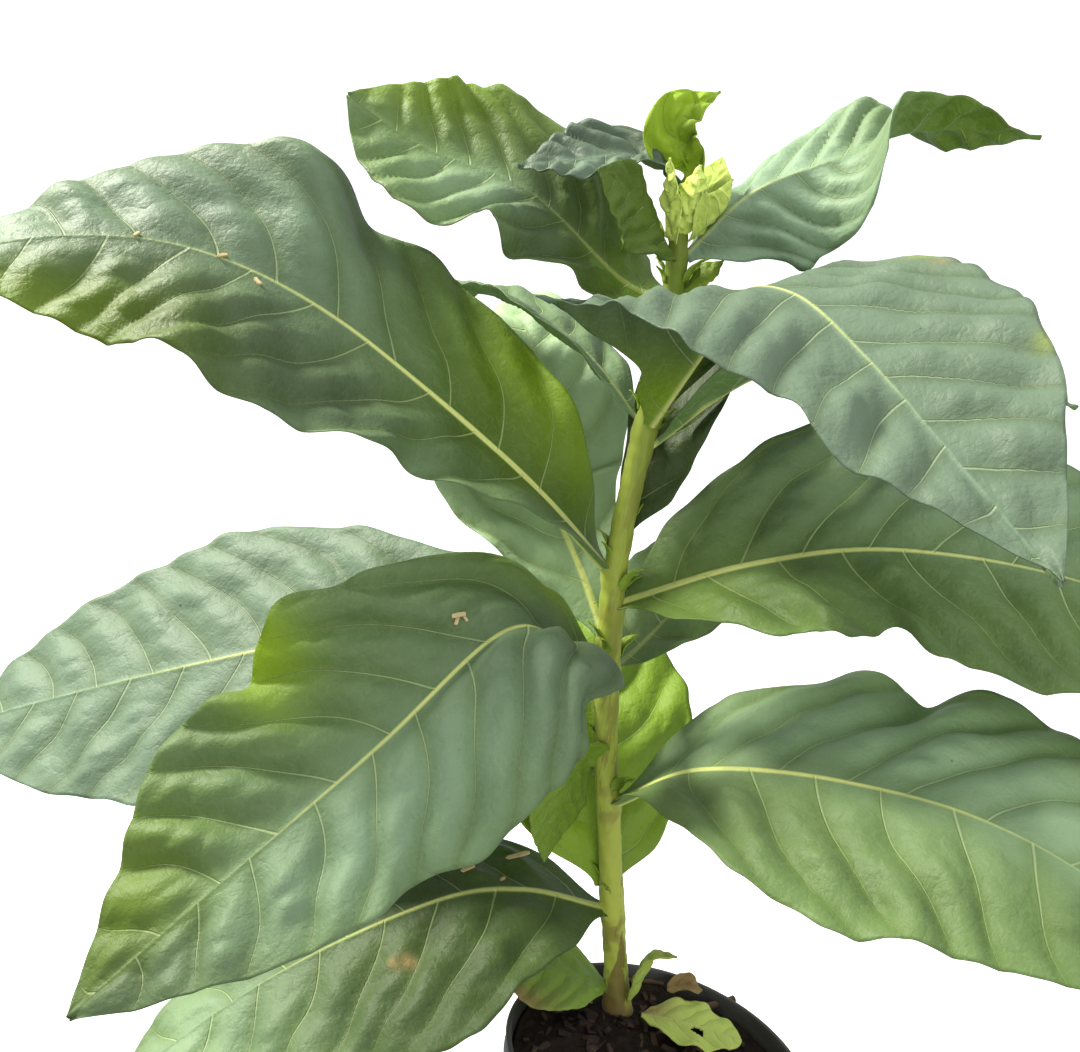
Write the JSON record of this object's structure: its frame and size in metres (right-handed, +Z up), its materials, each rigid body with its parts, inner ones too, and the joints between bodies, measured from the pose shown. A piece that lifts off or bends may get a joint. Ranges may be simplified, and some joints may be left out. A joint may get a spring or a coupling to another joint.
{
  "type": "potted tobacco plant",
  "caption": "Young leafy tobacco plant with broad arching leaves on a leaning stem, in a round black nursery pot.",
  "frame": {"origin": "centre of the pot's flat underside, on the surface that the pot stands on", "axes": "+Z up, -Y towards the viewer of the picture, +X to that viewer's right"},
  "size_m": [0.6368, 0.3387, 0.5736],
  "materials": {
    "pot_plastic": "satin black moulded plastic",
    "potting_mix": "rough dark bark and peat",
    "stem": "pale green, finely hairy",
    "leaf": "soft, finely hairy green with pale veins",
    "young_leaf": "soft pale yellow-green",
    "dead_leaf": "dry, papery and brown"
  },
  "bodies": {
    "root": {"pot": "pot_plastic", "potting_mix": "potting_mix", "stem": "stem", "leaf_foot_left": "leaf", "shoot_foot_right": "young_leaf", "leaf_left_low": "leaf", "leaf_rear_low": "leaf", "leaf_right_low": "leaf", "leaf_small_hanging": "leaf", "leaf_left_rear": "leaf", "leaf_front": "leaf", "leaf_rear_right": "leaf", "leaf_rear_left": "leaf", "leaf_right_mid": "leaf", "leaf_left_long": "leaf", "leaf_rear_upper": "leaf", "leaf_rear_right_high": "leaf", "leaf_right_near": "leaf", "leaf_rear_left_high": "leaf", "leaf_top_left": "leaf", "leaf_small_right": "young_leaf", "leaf_top_front": "young_leaf", "leaf_top_right": "leaf", "leaf_top_folded": "leaf", "leaf_crown_tip": "young_leaf", "bud_leaf_left": "young_leaf", "bud_leaf_right": "young_leaf", "bud_leaf_strap": "young_leaf", "bud_leaf_centre": "young_leaf", "bud_leaf_rear": "young_leaf", "leaf_on_mix": "leaf", "dead_leaf_left": "dead_leaf", "dead_leaf_curled": "dead_leaf"}
  },
  "joints": []
}
